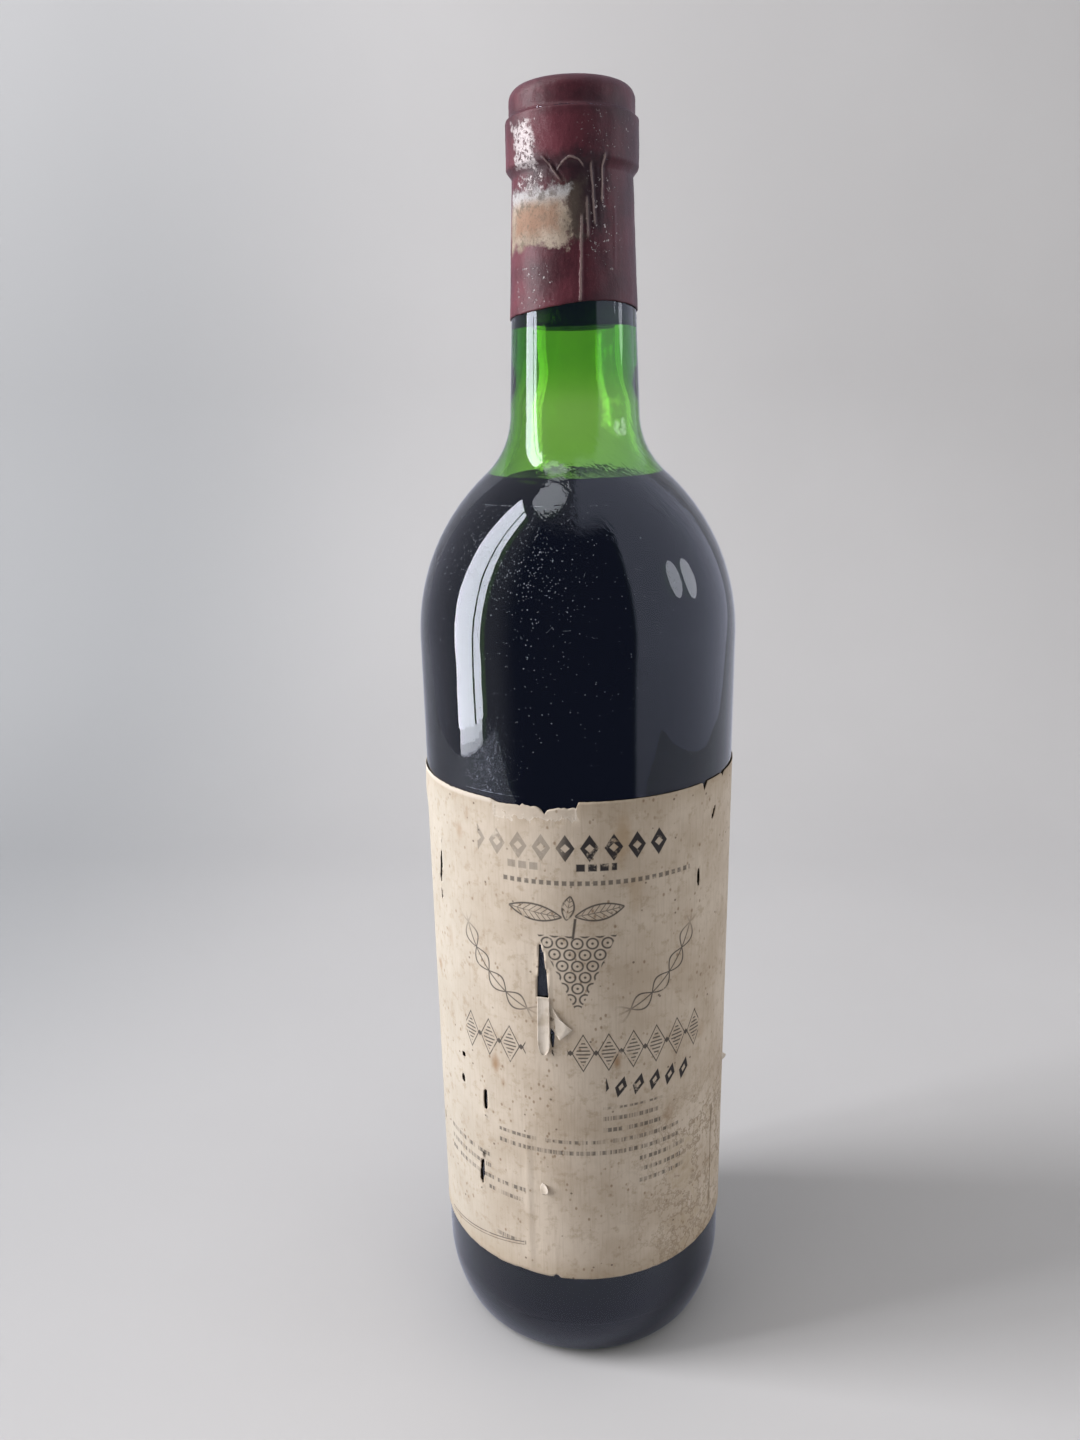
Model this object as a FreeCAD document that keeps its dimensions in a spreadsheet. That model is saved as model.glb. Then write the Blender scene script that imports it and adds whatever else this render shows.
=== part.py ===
"""Bordeaux-shaped wine bottle, 75 cl, filled to the upper shoulder and still corked.

The turned glass bottle holds the wine and the cork.  A foil capsule is spun over the
mouth, and an aged paper label with a torn slot is glued round the front of the body.

Millimetres, +Z up.  The origin is the middle of the foot, on the surface that the
bottle stands on.  The front of the label faces -Y.
"""

import FreeCAD, Part
import math
import os
import Sketcher

DOC = FreeCAD.newDocument("wine_bottle")

# ---------------------------------------------------------------- driving dimensions
SIZES = {
    # outside of the glass
    "body_radius": 37.5,  # just under the shoulder
    "body_taper": 0.6,  # how much smaller the radius is at the top of the heel
    "heel_height": 17.0,
    "heel_width": 8.0,  # how far the heel draws in
    "heel_corner_radius": 5.5,
    "bearing_width": 3.0,  # flat ring that the bottle stands on
    "pushup_height": 6.0,
    "shoulder_height": 182.0,
    "shoulder_radius": 49.9,
    "neck_root_radius": 17.9,
    "neck_foot_radius": 14.7,
    "neck_top_radius": 12.8,
    "band_radius": 14.0,
    "band_height": 9.8,
    "band_drop": 6.0,  # from the mouth down to the top of the band
    "band_bevel": 0.8,
    "lip_radius": 13.15,
    "lip_round": 2.4,
    "bottle_height": 298.0,
    # inside of the glass
    "body_wall": 2.8,
    "base_thickness": 5.0,
    "inner_heel_radius": 13.0,
    "bore_radius": 9.4,
    "bore_run_out": 3.5,  # straight bore left below the cork
    # wine and cork
    "fill_height": 218.0,
    "cork_length": 46.5,
    "cork_recess": 1.3,
    "cork_chamfer": 0.5,
    # foil capsule
    "foil_thickness": 0.3,
    "capsule_length": 44.7,  # from the mouth down to the cut edge, on the bottle's axis
    "capsule_slant": 7.0,  # degrees
    "capsule_slant_bearing": -45.0,  # degrees from +X, the way the cut edge rises
    # label
    "label_bottom": 27.4,
    "label_height": 124.6,
    "label_width": 118.0,
    "label_thickness": 0.25,
    "label_middle": -2.0,  # degrees from the front, towards -X
    # slot torn through the label
    "slot_offset": 7.3,  # from the middle of the label, towards -X
    "slot_bottom": 104.4,
    "slot_height": 13.5,
    "slot_foot_width": 2.6,
    "slot_head_width": 0.8,
}

sheet = DOC.addObject("Spreadsheet::Sheet", "sizes")
for row, (alias, number) in enumerate(SIZES.items(), start=1):
    sheet.set(f"A{row}", alias)
    sheet.set(f"B{row}", str(number))
    sheet.setAlias(f"B{row}", alias)
DOC.recompute()


class Term:
    """A length as a formula on the sheet, with the number that it has now."""

    def __init__(self, text, number):
        self.text = text
        self.number = float(number)

    def __add__(self, other):
        other = term(other)
        return Term(f"({self.text} + {other.text})", self.number + other.number)

    def __sub__(self, other):
        other = term(other)
        return Term(f"({self.text} - {other.text})", self.number - other.number)

    def __mul__(self, other):
        other = term(other)
        return Term(f"({self.text} * {other.text})", self.number * other.number)

    def __truediv__(self, other):
        other = term(other)
        return Term(f"({self.text} / {other.text})", self.number / other.number)

    def root(self):
        return Term(f"sqrt({self.text})", math.sqrt(self.number))


def term(value):
    """A term from a term, a plain number or the name of a size."""
    if isinstance(value, Term):
        return value
    if isinstance(value, str):
        return Term(f"sizes.{value}", SIZES[value])
    return Term(str(value), value)


def length(*names):
    """Sum of the named sizes; a name that starts with a minus is taken away."""
    total = term(0)
    for name in names:
        total = total - name[1:] if name.startswith("-") else total + name
    return total


# ---------------------------------------------------------------- shared heights
ZERO = term(0)
TOP = length("bottle_height")
FOOT_RADIUS = length("body_radius", "-body_taper")
BAND_TOP = length("bottle_height", "-band_drop")
BAND_BOTTOM = length("bottle_height", "-band_drop", "-band_height")
CORK_BOTTOM = length("bottle_height", "-cork_recess", "-cork_length")

# The shoulder arc and the hollow arc at the neck's root touch, so their centres lie
# one sum of radii apart, and they meet on the line between the centres.
ARC_SUM = length("shoulder_radius", "neck_root_radius")
ARC_RUN = length("shoulder_radius", "neck_root_radius", "neck_foot_radius", "-body_radius")
ARC_RISE = (ARC_SUM * ARC_SUM - ARC_RUN * ARC_RUN).root()
NECK_FOOT = length("shoulder_height") + ARC_RISE

# The heel is a corner arc on the floor and a flatter side arc, which touch too.
HEEL_FALL = length("heel_height", "-heel_corner_radius")
CORNER_REACH = length("heel_width", "-heel_corner_radius")
HEEL_SIDE_RADIUS = (
    term("heel_width") * term("heel_width")
    + term("heel_height") * term("heel_height")
    - term("heel_height") * term("heel_corner_radius") * 2
) / (CORNER_REACH * 2)

# The push-up is a shallow dome inside the bearing ring.
DOME_EDGE = FOOT_RADIUS - "heel_width" - "bearing_width"
DOME_RADIUS = (DOME_EDGE * DOME_EDGE + term("pushup_height") * term("pushup_height")) / (
    term("pushup_height") * 2
)


def body_radius(height):
    """Outer radius of the glass body, which tapers from the shoulder to the heel."""
    run = length("shoulder_height", "-heel_height")
    climb = height - "heel_height"
    return FOOT_RADIUS + term("body_taper") * climb / run


# ---------------------------------------------------------------- building helpers
class Outline:
    """Closed half-section on the XZ plane of a body: x is the radius, y the height.

    Every corner and every arc's radius is tied to the sheet, so a changed size moves
    the outline with it.
    """

    def __init__(self, body, name, role="XZ_Plane"):
        plane = next(f for f in body.Origin.OriginFeatures if f.Role == role)
        self.sketch = body.newObject("Sketcher::SketchObject", name)
        self.sketch.AttachmentSupport = (plane, [""])
        self.sketch.MapMode = "FlatFace"
        self.pieces = []
        self.here = None

    def tie(self, kind, target, formula):
        made = self.sketch.addConstraint(Sketcher.Constraint(kind, *target, formula.number))
        self.sketch.setExpression(f"Constraints[{made}]", formula.text)

    def place(self, piece, end, corner):
        """Ties one end of a piece to a corner; a zero lies on the sketch's own axis."""
        for kind, axis, formula in (("DistanceX", -2, corner[0]), ("DistanceY", -1, corner[1])):
            if formula.text == ZERO.text:
                self.sketch.addConstraint(Sketcher.Constraint("PointOnObject", piece, end, axis))
            else:
                self.tie(kind, (-1, 1, piece, end), formula)

    def start(self, radius, height):
        self.here = (term(radius), term(height))
        self.origin = self.here

    def add(self, geometry, first, last, corner):
        piece = self.sketch.addGeometry(geometry, False)
        if self.pieces:
            self.sketch.addConstraint(Sketcher.Constraint("Coincident", *self.pieces[-1], piece, first))
        else:
            self.place(piece, first, self.here)
            self.opening = (piece, first)
        self.pieces.append((piece, last))
        self.here = corner
        return piece

    def line(self, radius, height):
        corner = (term(radius), term(height))
        ends = [FreeCAD.Vector(r.number, z.number, 0) for r, z in (self.here, corner)]
        piece = self.add(Part.LineSegment(*ends), 1, 2, corner)
        self.place(piece, 2, corner)

    def arc(self, radius, height, bend, turn):
        """An arc of radius bend to a corner; turn is 1 anticlockwise and -1 clockwise."""
        corner = (term(radius), term(height))
        a, b = [FreeCAD.Vector(r.number, z.number, 0) for r, z in (self.here, corner)]
        chord = b - a
        aside = FreeCAD.Vector(-chord.y, chord.x, 0).normalize()
        centre = (a + b) / 2 + aside * turn * math.sqrt(bend.number**2 - (chord.Length / 2) ** 2)
        low, high = (a, b) if turn > 0 else (b, a)
        angles = [math.atan2(p.y - centre.y, p.x - centre.x) for p in (low, high)]
        circle = Part.Circle(centre, FreeCAD.Vector(0, 0, 1), bend.number)
        first, last = (1, 2) if turn > 0 else (2, 1)
        piece = self.add(Part.ArcOfCircle(circle, *angles), first, last, corner)
        self.place(piece, last, corner)
        self.tie("Radius", (piece,), bend)

    def close(self):
        """Straight run back to the first corner."""
        ends = [FreeCAD.Vector(r.number, z.number, 0) for r, z in (self.here, self.origin)]
        piece = self.sketch.addGeometry(Part.LineSegment(*ends), False)
        self.sketch.addConstraint(Sketcher.Constraint("Coincident", *self.pieces[-1], piece, 1))
        self.sketch.addConstraint(Sketcher.Constraint("Coincident", piece, 2, *self.opening))


def new_body(name):
    body = DOC.addObject("PartDesign::Body", name)
    body.Label = name
    return body


def turn(body, outline, angle=term(360)):
    """Revolves an outline about the bottle's axis, evenly to both sides of its plane."""
    feature = body.newObject("PartDesign::Revolution", f"{body.Name}_turned")
    feature.Profile = outline.sketch
    feature.ReferenceAxis = (outline.sketch, ["V_Axis"])
    feature.Midplane = True
    feature.setExpression("Angle", angle.text)
    return feature


def combine(kind, name, base, tool):
    """A Part::Cut or Part::Common of two objects, with the first one's place."""
    made = DOC.addObject(kind, name)
    made.Label = name
    made.Base = base
    made.Tool = tool
    return made


# ---------------------------------------------------------------- outlines of the glass
def shoulder_and_neck(outline, wall):
    """Shoulder arc and neck root, wall deep inside the outer surface, going up."""
    shoulder_bend = length("shoulder_radius") - wall
    centre = length("body_radius", "-shoulder_radius")
    joint_radius = centre + ARC_RUN * shoulder_bend / ARC_SUM
    joint_height = length("shoulder_height") + ARC_RISE * shoulder_bend / ARC_SUM
    outline.arc(joint_radius, joint_height, shoulder_bend, 1)
    outline.arc(length("neck_foot_radius") - wall, NECK_FOOT, length("neck_root_radius") + wall, -1)


def finish(outline, cover):
    """Neck, raised band and rounded lip, cover clear of the glass, up to the axis."""
    neck = length("neck_top_radius") + cover
    band = length("band_radius") + cover
    lip = length("lip_radius") + cover
    lip_round = length("lip_round") + cover
    outline.line(neck, BAND_BOTTOM - "band_bevel")
    outline.line(band, BAND_BOTTOM)
    outline.line(band, BAND_TOP)
    outline.line(lip, BAND_TOP + "band_bevel")
    outline.line(lip, length("bottle_height", "-lip_round"))
    outline.arc(lip - lip_round, TOP + cover, lip_round, 1)
    outline.line(ZERO, TOP + cover)


def solid_bottle():
    """The bottle's outer shape, as if it were solid glass."""
    body = new_body("bottle_outside")
    outline = Outline(body, "bottle_outside_section")
    corner = length("heel_corner_radius")
    corner_middle = FOOT_RADIUS - "heel_width"
    share = corner / (HEEL_SIDE_RADIUS - corner)
    outline.start(ZERO, "pushup_height")
    outline.arc(DOME_EDGE, ZERO, DOME_RADIUS, -1)
    outline.line(corner_middle, ZERO)
    outline.arc(
        corner_middle + (HEEL_SIDE_RADIUS - "heel_width") * share,
        corner - HEEL_FALL * share,
        corner,
        1,
    )
    outline.arc(FOOT_RADIUS, "heel_height", HEEL_SIDE_RADIUS, 1)
    outline.line("body_radius", "shoulder_height")
    shoulder_and_neck(outline, ZERO)
    finish(outline, ZERO)
    outline.close()
    turn(body, outline)
    return body


def hollow_bottle():
    """The space inside the glass, run out past the mouth."""
    body = new_body("bottle_inside")
    outline = Outline(body, "bottle_inside_section")
    wall = length("body_wall")
    inner_heel = length("inner_heel_radius")
    floor_edge = FOOT_RADIUS - "body_wall" - "inner_heel_radius"
    floor_bend = DOME_RADIUS + "base_thickness"
    floor_fall = (floor_bend * floor_bend - floor_edge * floor_edge).root()
    floor_low = length("pushup_height") - DOME_RADIUS + floor_fall
    outline.start(ZERO, length("pushup_height", "base_thickness"))
    outline.arc(floor_edge, floor_low, floor_bend, -1)
    outline.arc(floor_edge + inner_heel, floor_low + inner_heel, inner_heel, 1)
    outline.line(length("body_radius") - wall, "shoulder_height")
    shoulder_and_neck(outline, wall)
    outline.line("bore_radius", CORK_BOTTOM - "bore_run_out")
    outline.line("bore_radius", TOP + 1)
    outline.line(ZERO, TOP + 1)
    outline.close()
    turn(body, outline)
    return body


# ---------------------------------------------------------------- the pieces
def glass_bottle(outside, inside):
    """Hollow green glass bottle with a push-up under it and a raised band at its mouth."""
    return combine("Part::Cut", "glass_bottle", outside, inside)


def wine(inside):
    """Red wine, filling the glass up to the shoulder."""
    level = DOC.addObject("Part::Cylinder", "wine_level")
    level.setExpression("Radius", length("body_radius").text)
    level.setExpression("Height", length("fill_height").text)
    return combine("Part::Common", "wine", inside, level)


def cork():
    """Straight cork, pressed into the bore and set a little below the mouth."""
    body = new_body("cork")
    plane = next(f for f in body.Origin.OriginFeatures if f.Role == "XY_Plane")
    round_end = body.newObject("Sketcher::SketchObject", "cork_end")
    round_end.AttachmentSupport = (plane, [""])
    round_end.MapMode = "FlatFace"
    circle = Part.Circle(FreeCAD.Vector(0, 0, 0), FreeCAD.Vector(0, 0, 1), SIZES["bore_radius"])
    piece = round_end.addGeometry(circle, False)
    round_end.addConstraint(Sketcher.Constraint("Coincident", piece, 3, -1, 1))
    made = round_end.addConstraint(Sketcher.Constraint("Radius", piece, SIZES["bore_radius"]))
    round_end.setExpression(f"Constraints[{made}]", length("bore_radius").text)
    stick = body.newObject("PartDesign::Pad", "cork_stick")
    stick.Profile = round_end
    stick.setExpression("Length", length("cork_length").text)
    DOC.recompute()
    edges = [
        f"Edge{number}"
        for number, edge in enumerate(stick.Shape.Edges, start=1)
        if isinstance(edge.Curve, Part.Circle)
    ]
    chamfer = body.newObject("PartDesign::Chamfer", "cork_edges")
    chamfer.Base = (stick, edges)
    chamfer.setExpression("Size", length("cork_chamfer").text)
    body.setExpression("Placement.Base.z", CORK_BOTTOM.text)
    return body


def capsule(outside):
    """Foil capsule spun over the mouth, its lower edge cut at a slant."""
    jacket = new_body("capsule_outside")
    cover = length("foil_thickness")
    outline = Outline(jacket, "capsule_outside_section")
    outline.start(ZERO, NECK_FOOT)
    outline.line(length("neck_foot_radius") + cover, NECK_FOOT)
    finish(outline, cover)
    outline.close()
    turn(jacket, outline)
    foil = combine("Part::Cut", "foil_tube", jacket, outside)
    keep = DOC.addObject("Part::Cylinder", "above_the_cut")
    keep.setExpression("Radius", length("body_radius").text)
    keep.setExpression("Height", length("bottle_height").text)
    keep.setExpression(
        "Placement",
        "create(<<placement>>; create(<<vector>>; 0; 0; sizes.bottle_height - sizes.capsule_length);"
        " create(<<rotation>>; create(<<vector>>;"
        " sin(sizes.capsule_slant_bearing * 1deg); -cos(sizes.capsule_slant_bearing * 1deg); 0);"
        " sizes.capsule_slant))",
    )
    return combine("Part::Common", "capsule", foil, keep)


def label():
    """Paper label glued round the front, with a narrow slot torn through it."""
    body = new_body("label")
    low = length("label_bottom")
    high = length("label_bottom", "label_height")
    paper = length("label_thickness")
    outline = Outline(body, "label_section")
    outline.start(body_radius(low), low)
    outline.line(body_radius(low) + paper, low)
    outline.line(body_radius(high) + paper, high)
    outline.line(body_radius(high), high)
    outline.close()
    middle_radius = body_radius(low + term("label_height") / 2)
    turn(body, outline, term("label_width") / middle_radius * 180 / term(math.pi))
    slot = Outline(body, "slot_section", "YZ_Plane")
    middle = ZERO - "slot_offset"
    foot = term("slot_foot_width") / 2
    head = term("slot_head_width") / 2
    slot_top = length("slot_bottom", "slot_height")
    slot.start(middle - foot, "slot_bottom")
    slot.line(middle + foot, "slot_bottom")
    slot.line(middle + head, slot_top)
    slot.line(middle - head, slot_top)
    slot.close()
    DOC.recompute()
    whole = body.Shape.Volume
    tear = body.newObject("PartDesign::Pocket", "slot")
    tear.Profile = slot.sketch
    tear.Type = "ThroughAll"
    tear.Reversed = True
    DOC.recompute()
    if not body.Shape.Volume < whole:
        raise RuntimeError("the slot cuts nothing out of the label")
    body.setExpression(
        "Placement",
        "create(<<placement>>; create(<<vector>>; 0; 0; 0);"
        " create(<<rotation>>; create(<<vector>>; 0; 0; 1); sizes.label_middle - 90))",
    )
    return body


outside = solid_bottle()
inside = hollow_bottle()
pieces = [glass_bottle(outside, inside), wine(inside), cork(), capsule(outside), label()]
DOC.recompute()

for thing in DOC.Objects:
    if "Invalid" in thing.State or "Error" in thing.State:
        raise RuntimeError(f"{thing.Label} did not build: {thing.State}")
for piece in pieces:
    if piece.Shape.isNull() or not piece.Shape.isValid() or len(piece.Shape.Solids) != 1:
        raise RuntimeError(f"{piece.Label} is not one valid solid")

os.makedirs("parts", exist_ok=True)
for piece in pieces:
    piece.Shape.exportStep(f"parts/{piece.Label}.step")
    box = piece.Shape.BoundBox
    print(
        f"{piece.Label}: {piece.Shape.Volume / 1000:.1f} cm3,"
        f" x {box.XMin:.2f}..{box.XMax:.2f}, y {box.YMin:.2f}..{box.YMax:.2f},"
        f" z {box.ZMin:.2f}..{box.ZMax:.2f}"
    )
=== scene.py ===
"""Looks of a corked 75 cl wine bottle: green glass, red wine, cork, worn foil capsule, aged paper label.

Metres, +Z up, the label's front towards -Y.  Each section makes one real piece of the bottle, and the last
three are the table, the light and the camera.
"""

import math
import random

import bpy
from mathutils import Matrix, Vector, noise


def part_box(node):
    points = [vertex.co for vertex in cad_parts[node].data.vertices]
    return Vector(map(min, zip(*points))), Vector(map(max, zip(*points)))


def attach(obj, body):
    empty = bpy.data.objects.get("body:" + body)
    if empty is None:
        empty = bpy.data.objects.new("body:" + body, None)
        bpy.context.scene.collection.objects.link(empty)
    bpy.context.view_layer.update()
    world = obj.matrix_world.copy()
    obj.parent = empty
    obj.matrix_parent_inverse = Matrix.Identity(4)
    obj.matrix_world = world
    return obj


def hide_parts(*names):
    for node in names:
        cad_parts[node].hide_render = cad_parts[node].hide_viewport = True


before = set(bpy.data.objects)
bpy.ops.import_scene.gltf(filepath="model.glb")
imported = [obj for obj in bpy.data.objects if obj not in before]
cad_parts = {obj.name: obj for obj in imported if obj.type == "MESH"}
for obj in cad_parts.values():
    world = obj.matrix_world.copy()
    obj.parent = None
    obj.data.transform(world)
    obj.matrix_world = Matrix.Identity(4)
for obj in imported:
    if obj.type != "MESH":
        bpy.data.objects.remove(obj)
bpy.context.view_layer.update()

# -----------------------------------------------------------------------------
# The bottle: green glass blown in a two-part mould, so it has two faint seams, a slightly rippled skin,
# a shallow push-up under it and a thick raised band at the mouth, which the foil covers.
# -----------------------------------------------------------------------------
MM = 0.001
GLASS_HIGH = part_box("glass_bottle")[1]
BODY_RADIUS = GLASS_HIGH.x
BODY_TAPER = 0.6 * MM
MOUTH_HEIGHT = GLASS_HIGH.z
HEEL_HEIGHT = 17 * MM
HEEL_WIDTH = 8 * MM
HEEL_CORNER = 5.5 * MM
BEARING_WIDTH = 3 * MM
PUSHUP_HEIGHT = 6 * MM
SHOULDER_HEIGHT = 182 * MM
SHOULDER_BEND = 49.9 * MM
ROOT_BEND = 17.9 * MM
NECK_FOOT_RADIUS = 14.7 * MM
NECK_TOP_RADIUS = 12.8 * MM
BAND_RADIUS = 14 * MM
BAND_TOP = MOUTH_HEIGHT - 6 * MM
BAND_BOTTOM = BAND_TOP - 9.8 * MM
BAND_BEVEL = 0.8 * MM
LIP_RADIUS = 13.15 * MM
LIP_ROUND = 2.4 * MM
GLASS_WALL = 2.8 * MM
BASE_THICKNESS = 5 * MM
INNER_HEEL = 13 * MM
CORK_LOW, CORK_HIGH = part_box("cork")
BORE_RADIUS = CORK_HIGH.x
BORE_END = CORK_LOW.z - 3.5 * MM
GLASS_SIDES = 192

FOOT_RADIUS = BODY_RADIUS - BODY_TAPER
ROOT_RUN = SHOULDER_BEND + ROOT_BEND + NECK_FOOT_RADIUS - BODY_RADIUS
ROOT_RISE = math.sqrt((SHOULDER_BEND + ROOT_BEND) ** 2 - ROOT_RUN**2)
NECK_FOOT = SHOULDER_HEIGHT + ROOT_RISE
SHOULDER_END = math.degrees(math.atan2(ROOT_RISE, ROOT_RUN))
PUSHUP_EDGE = FOOT_RADIUS - HEEL_WIDTH - BEARING_WIDTH
PUSHUP_DOME = (PUSHUP_EDGE**2 + PUSHUP_HEIGHT**2) / (2 * PUSHUP_HEIGHT)


def bend(centre, radius, start, end, steps):
    """Points along an arc of a half-section, from one angle in degrees to another."""
    angles = [math.radians(start + (end - start) * i / steps) for i in range(steps + 1)]
    return [(centre[0] + radius * math.cos(a), centre[1] + radius * math.sin(a)) for a in angles]


def run(start, end, steps):
    """Points along a straight run, without its start."""
    shares = [(i + 1) / steps for i in range(steps)]
    return [(start[0] + (end[0] - start[0]) * s, start[1] + (end[1] - start[1]) * s) for s in shares]


def shoulder(wall):
    """Shoulder and neck root, going up, wall deep inside the outer skin."""
    below = bend((BODY_RADIUS - SHOULDER_BEND, SHOULDER_HEIGHT), SHOULDER_BEND - wall, 0, SHOULDER_END, 30)
    root = (NECK_FOOT_RADIUS + ROOT_BEND, NECK_FOOT)
    return below + bend(root, ROOT_BEND + wall, 180 + SHOULDER_END, 180, 18)[1:]


def body_radius(height):
    """Outer radius of the straight body, which narrows a little towards the heel."""
    return FOOT_RADIUS + BODY_TAPER * (height - HEEL_HEIGHT) / (SHOULDER_HEIGHT - HEEL_HEIGHT)


def glass_skin():
    """The outer skin from under the foot up to the lip."""
    tilt = math.degrees(math.asin(PUSHUP_EDGE / PUSHUP_DOME))
    skin = bend((0, PUSHUP_HEIGHT - PUSHUP_DOME), PUSHUP_DOME, 90, 90 - tilt, 16)
    reach = HEEL_WIDTH - HEEL_CORNER
    side = (HEEL_WIDTH**2 + HEEL_HEIGHT**2 - 2 * HEEL_HEIGHT * HEEL_CORNER) / (2 * reach)
    corner = (FOOT_RADIUS - HEEL_WIDTH, HEEL_CORNER)
    turn = math.degrees(math.atan2(HEEL_HEIGHT - HEEL_CORNER, side - HEEL_WIDTH))
    skin += bend(corner, HEEL_CORNER, -90, -turn, 10)
    skin += bend((FOOT_RADIUS - side, HEEL_HEIGHT), side, -turn, 0, 12)[1:]
    skin += run(skin[-1], (BODY_RADIUS, SHOULDER_HEIGHT), 36)
    skin += shoulder(0)[1:]
    skin += run(skin[-1], (NECK_TOP_RADIUS, BAND_BOTTOM - BAND_BEVEL), 14)
    skin += [(BAND_RADIUS, BAND_BOTTOM), (BAND_RADIUS, BAND_TOP), (LIP_RADIUS, BAND_TOP + BAND_BEVEL)]
    return skin + bend((LIP_RADIUS - LIP_ROUND, MOUTH_HEIGHT - LIP_ROUND), LIP_ROUND, 0, 90, 8)


def glass_lining(sink=0.0):
    """The inner skin from the middle of the floor up to the bore, sunk outwards into the wall."""
    floor_edge = FOOT_RADIUS - GLASS_WALL - INNER_HEEL
    floor = PUSHUP_DOME + BASE_THICKNESS - sink
    tilt = math.degrees(math.asin(floor_edge / floor))
    lining = bend((0, PUSHUP_HEIGHT - PUSHUP_DOME), floor, 90, 90 - tilt, 12)
    heel = (floor_edge, lining[-1][1] + INNER_HEEL + sink)
    lining += bend(heel, INNER_HEEL + sink, -88, 0, 14)
    lining += run(lining[-1], (BODY_RADIUS - GLASS_WALL + sink, SHOULDER_HEIGHT), 20)
    return lining + shoulder(GLASS_WALL - sink)[1:]


def bore():
    """The neck's inner skin, easing in from the root to the cork's straight bore."""
    wide = NECK_FOOT_RADIUS - GLASS_WALL
    points = []
    for i in range(1, 15):
        share = i / 14
        ease = share * share * (3 - 2 * share)
        points.append((wide + (BORE_RADIUS - wide) * ease, NECK_FOOT + (BORE_END - NECK_FOOT) * share))
    return points + run(points[-1], (BORE_RADIUS, MOUTH_HEIGHT), 10)


def turned(name, outline, sides):
    """A half-section drawn point by point, then spun about the bottle's axis."""
    bpy.ops.object.select_all(action="DESELECT")
    bpy.ops.mesh.primitive_plane_add(size=MM)
    piece = bpy.context.object
    piece.name = name
    bpy.ops.object.mode_set(mode="EDIT")
    bpy.ops.mesh.merge(type="CENTER")
    corners = [Vector((radius, 0, height)) for radius, height in outline]
    bpy.ops.transform.translate(value=corners[0])
    for before, after in zip(corners, corners[1:]):
        bpy.ops.mesh.extrude_region_move(TRANSFORM_OT_translate={"value": after - before})
    bpy.ops.mesh.select_all(action="SELECT")
    bpy.ops.mesh.spin(steps=sides, angle=math.tau, center=(0, 0, 0), axis=(0, 0, 1))
    bpy.ops.mesh.select_all(action="SELECT")
    bpy.ops.mesh.remove_doubles(threshold=0.01 * MM)
    bpy.ops.mesh.normals_make_consistent(inside=False)
    bpy.ops.object.mode_set(mode="OBJECT")
    bpy.ops.object.shade_smooth()
    return piece


class Value:
    """One number or colour in a finish; arithmetic on it adds Math nodes."""

    def __init__(self, finish, socket):
        self.finish = finish
        self.socket = socket

    def math(self, operation, *others):
        return self.finish.node("ShaderNodeMath", {"operation": operation}, [self, *others])

    def __add__(self, other):
        return self.math("ADD", other)

    def __sub__(self, other):
        return self.math("SUBTRACT", other)

    def __rsub__(self, other):
        return self.finish.node("ShaderNodeMath", {"operation": "SUBTRACT"}, [other, self])

    def __mul__(self, other):
        return self.math("MULTIPLY", other)

    def __truediv__(self, other):
        return self.math("DIVIDE", other)

    def __pow__(self, other):
        return self.math("POWER", other)

    def __mod__(self, other):
        return self.math("FLOORED_MODULO", other)

    def __abs__(self):
        return self.math("ABSOLUTE")

    __radd__ = __add__
    __rmul__ = __mul__

    def along(self, direction):
        """How far a place lies along a direction."""
        settings = {"operation": "DOT_PRODUCT"}
        return self.finish.node("ShaderNodeVectorMath", settings, [self, direction], "Value")

    def rise(self, low, high):
        """0 below low and 1 above high, eased between; the other way round if high is lower."""
        settings = {"interpolation_type": "SMOOTHSTEP"}
        return self.finish.node("ShaderNodeMapRange", settings, {"Value": self, 1: low, 2: high})


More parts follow.
